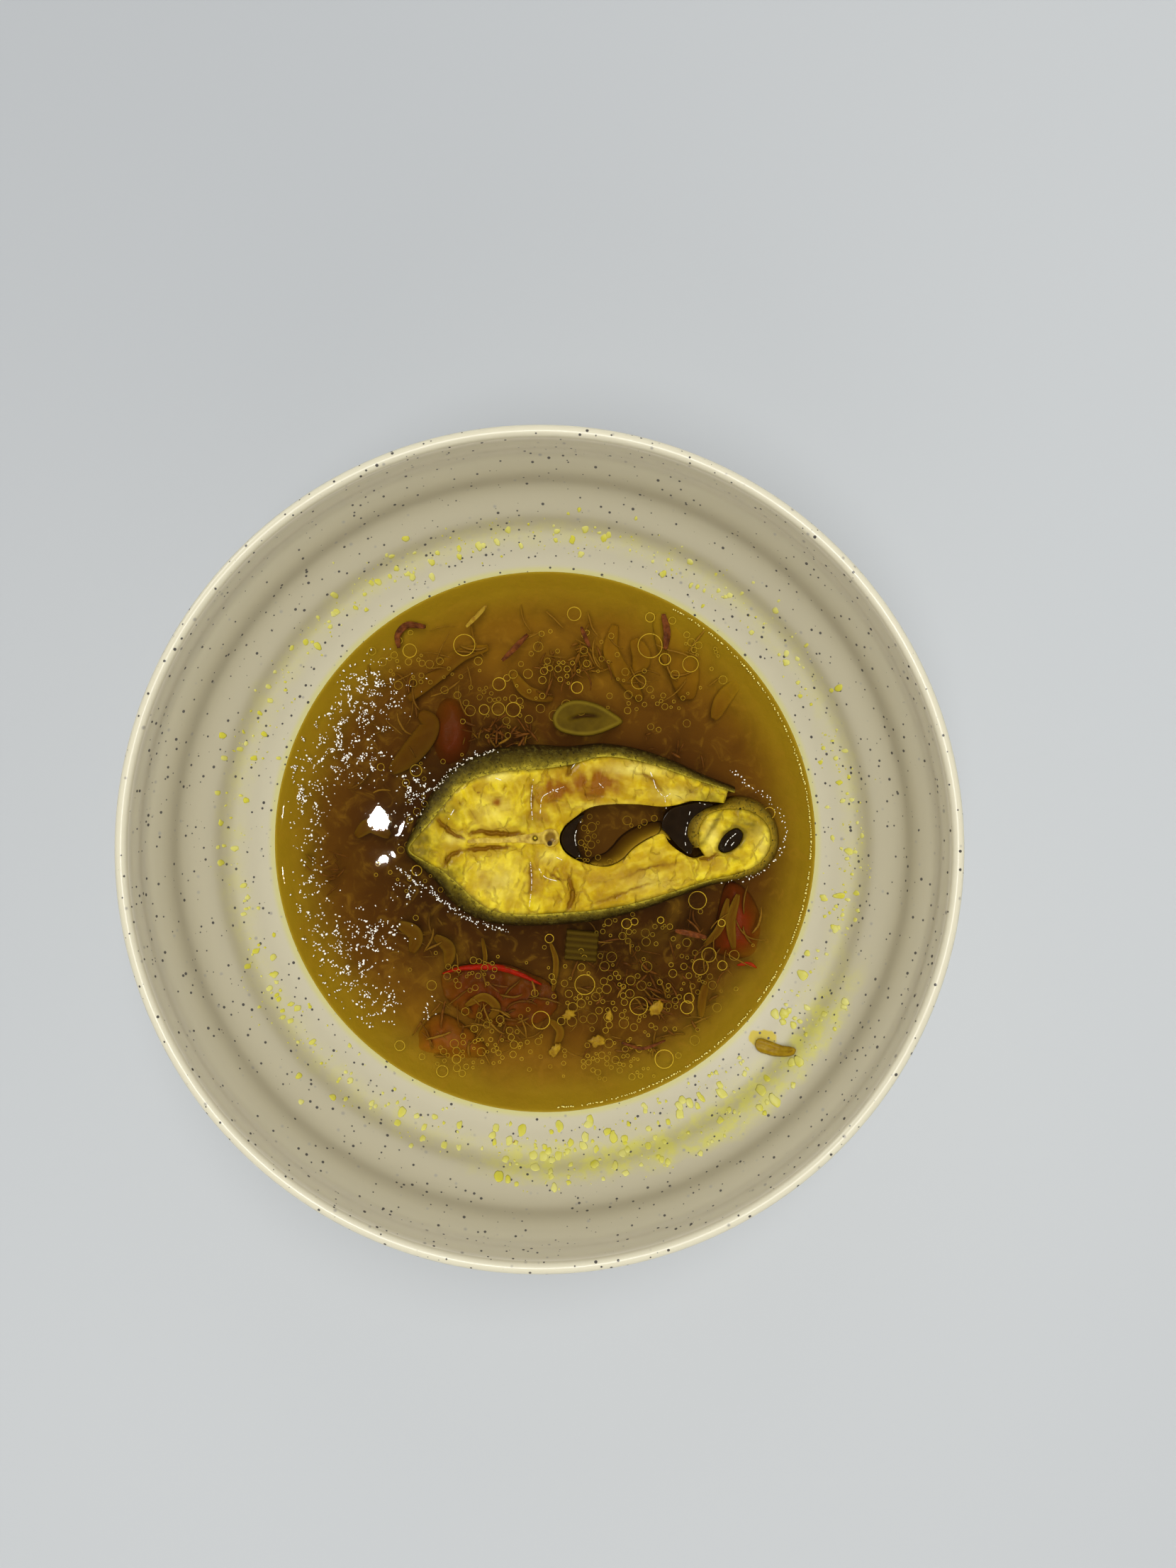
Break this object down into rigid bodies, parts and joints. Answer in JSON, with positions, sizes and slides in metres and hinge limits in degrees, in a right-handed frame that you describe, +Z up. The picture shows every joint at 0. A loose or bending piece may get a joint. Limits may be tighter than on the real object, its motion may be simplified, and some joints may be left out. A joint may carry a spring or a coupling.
{
  "type": "bowl of sour fish soup",
  "caption": "Round ribbed stoneware bowl on a foot ring, half filled with yellow-brown sour broth in which a fish steak, garlic and herbs lie",
  "frame": {"origin": "centre of the flat foot ring, on the surface the bowl stands on", "axes": "+Z up out of the bowl, +X along the fish steak towards its belly curl, +Y towards the garlic slice"},
  "size_m": [0.2, 0.2, 0.068],
  "materials": {
    "bowl_glaze": "off-white speckled glaze with yellow broth stains",
    "broth": "clear oily yellow-brown liquid with oil rings",
    "fish_flesh": "moist turmeric-yellow cooked fish",
    "fish_skin": "wet dark olive fish skin",
    "fish_bone": "wet yellow-brown bone",
    "belly_lining": "wet black membrane",
    "garlic": "soft wet garlic stained olive yellow",
    "leek": "soft wet ribbed leek stained olive",
    "herb": "wet golden herb shred"
  },
  "bodies": {
    "root": {"bowl": "bowl_glaze", "broth": "broth", "fish_flesh": "fish_flesh", "fish_skin": "fish_skin", "fish_backbone": "fish_bone", "belly_lining": "belly_lining", "belly_lining_flap": "belly_lining", "curl_lining": "belly_lining", "garlic_slice": "garlic", "leek_piece": "leek", "herb_sliver": "herb"}
  },
  "joints": []
}
